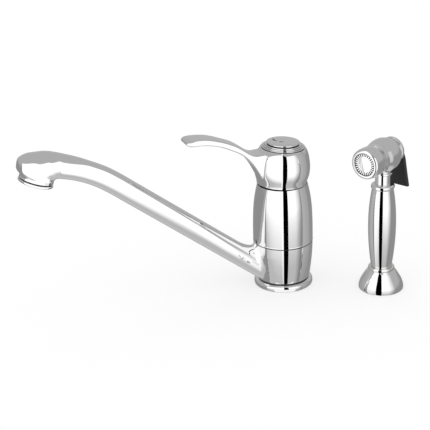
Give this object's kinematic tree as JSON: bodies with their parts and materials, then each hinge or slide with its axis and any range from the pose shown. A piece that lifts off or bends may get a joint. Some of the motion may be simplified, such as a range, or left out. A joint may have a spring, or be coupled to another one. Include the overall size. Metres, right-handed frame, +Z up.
{
  "type": "kitchen faucet with side spray",
  "caption": "Single-lever kitchen mixer with a rising swivel spout, a stepped domed lever on top and a separate pull-out hand spray standing in its own deck holder.",
  "frame": {"origin": "centre of the faucet's foot, on the top face of the deck", "axes": "+Z up along the body's axis; the spout and lever point along -X at rest; the side spray stands towards +X and -Y"},
  "size_m": [0.3322, 0.0991, 0.2577],
  "materials": {
    "chrome": "mirror polished",
    "brass": "machined",
    "copper": "drawn copper tube",
    "steel": "zinc plated",
    "rubber": "matt",
    "black_plastic": "satin black",
    "pale_plastic": "moulded",
    "ceramic": "lapped ceramic",
    "index_cap": "mirror polished",
    "stem_metal": "machined"
  },
  "bodies": {
    "mixer_body": {"base_ring": "chrome", "base_gasket": "rubber", "deck_shank": "brass", "rubber_washer": "rubber", "steel_washer": "steel", "lock_nut": "pale_plastic", "supply_tail_hot": "copper", "supply_tail_cold": "copper", "spray_hose_nipple": "brass", "mixer_core": "brass", "glide_ring_lower": "black_plastic", "glide_ring_upper": "black_plastic", "spout_oring_lower": "rubber", "spout_oring_upper": "rubber", "diverter_valve": "brass", "barrel_shell": "chrome", "cartridge_seal": "rubber", "cartridge_housing": "pale_plastic", "fixed_disc": "ceramic", "bonnet": "chrome", "spray_holder": "chrome", "holder_gasket": "rubber", "holder_washer": "rubber", "holder_nut": "pale_plastic", "holder_ring": "chrome"},
    "swivel_spout": {"spout": "chrome", "aerator_collar": "chrome", "aerator_washer": "rubber", "aerator_plate": "pale_plastic"},
    "lever_turret": {"turret": "pale_plastic", "pivot_pin": "steel"},
    "lever": {"lever_handle": "chrome", "cap_ring": "chrome", "index_button": "index_cap", "handle_screw": "steel", "cartridge_stem": "stem_metal"},
    "disc": {"moving_disc": "ceramic"},
    "side_spray": {"spray_handle": "chrome", "spray_tail": "brass", "handle_collar": "chrome", "spray_neck": "chrome", "neck_ring": "chrome", "spray_head": "chrome", "nozzle_band": "chrome", "nozzle_shell": "chrome", "spray_plate": "pale_plastic", "rear_cap": "chrome", "trigger_pin": "steel"},
    "spray_trigger": {"trigger": "black_plastic"},
    "spray_plunger": {"valve_plunger": "black_plastic"}
  },
  "joints": [
    {"name": "spout_swivel", "type": "hinge", "parent": "mixer_body", "child": "swivel_spout", "pos_m": [0, 0, 0], "axis": [0, 0, 1], "range_deg": [-105, 105]},
    {"name": "lever_turn", "type": "hinge", "parent": "mixer_body", "child": "lever_turret", "pos_m": [0, 0, 0], "axis": [0, 0, 1], "range_deg": [-45, 45]},
    {"name": "lever_lift", "type": "hinge", "parent": "lever_turret", "child": "lever", "pos_m": [0, 0, 0.109], "axis": [0, 1, 0], "range_deg": [-3, 17]},
    {"name": "disc_slide", "type": "slide", "parent": "lever_turret", "child": "disc", "axis": [1, 0, 0], "range_m": [-0.0045, 0.0008]},
    {"name": "spray_lift", "type": "slide", "parent": "mixer_body", "child": "side_spray", "axis": [0, 0, 1], "range_m": [0, 0.1]},
    {"name": "trigger_hinge", "type": "hinge", "parent": "side_spray", "child": "spray_trigger", "pos_m": [0.08544, -0.04044, 0.131], "axis": [-0.4848, 0.8746, 0], "range_deg": [0, 8], "stiffness_Nm_per_rad": 0.15, "springref_deg": -5.73},
    {"name": "plunger_slide", "type": "slide", "parent": "side_spray", "child": "spray_plunger", "axis": [-0.8746, -0.4848, 0], "range_m": [0, 0.0019]}
  ],
  "couplings": [
    {"joint": "disc_slide", "follows": "lever_lift", "m_per_rad": -0.0145},
    {"joint": "plunger_slide", "follows": "trigger_hinge", "m_per_rad": 0.013}
  ]
}
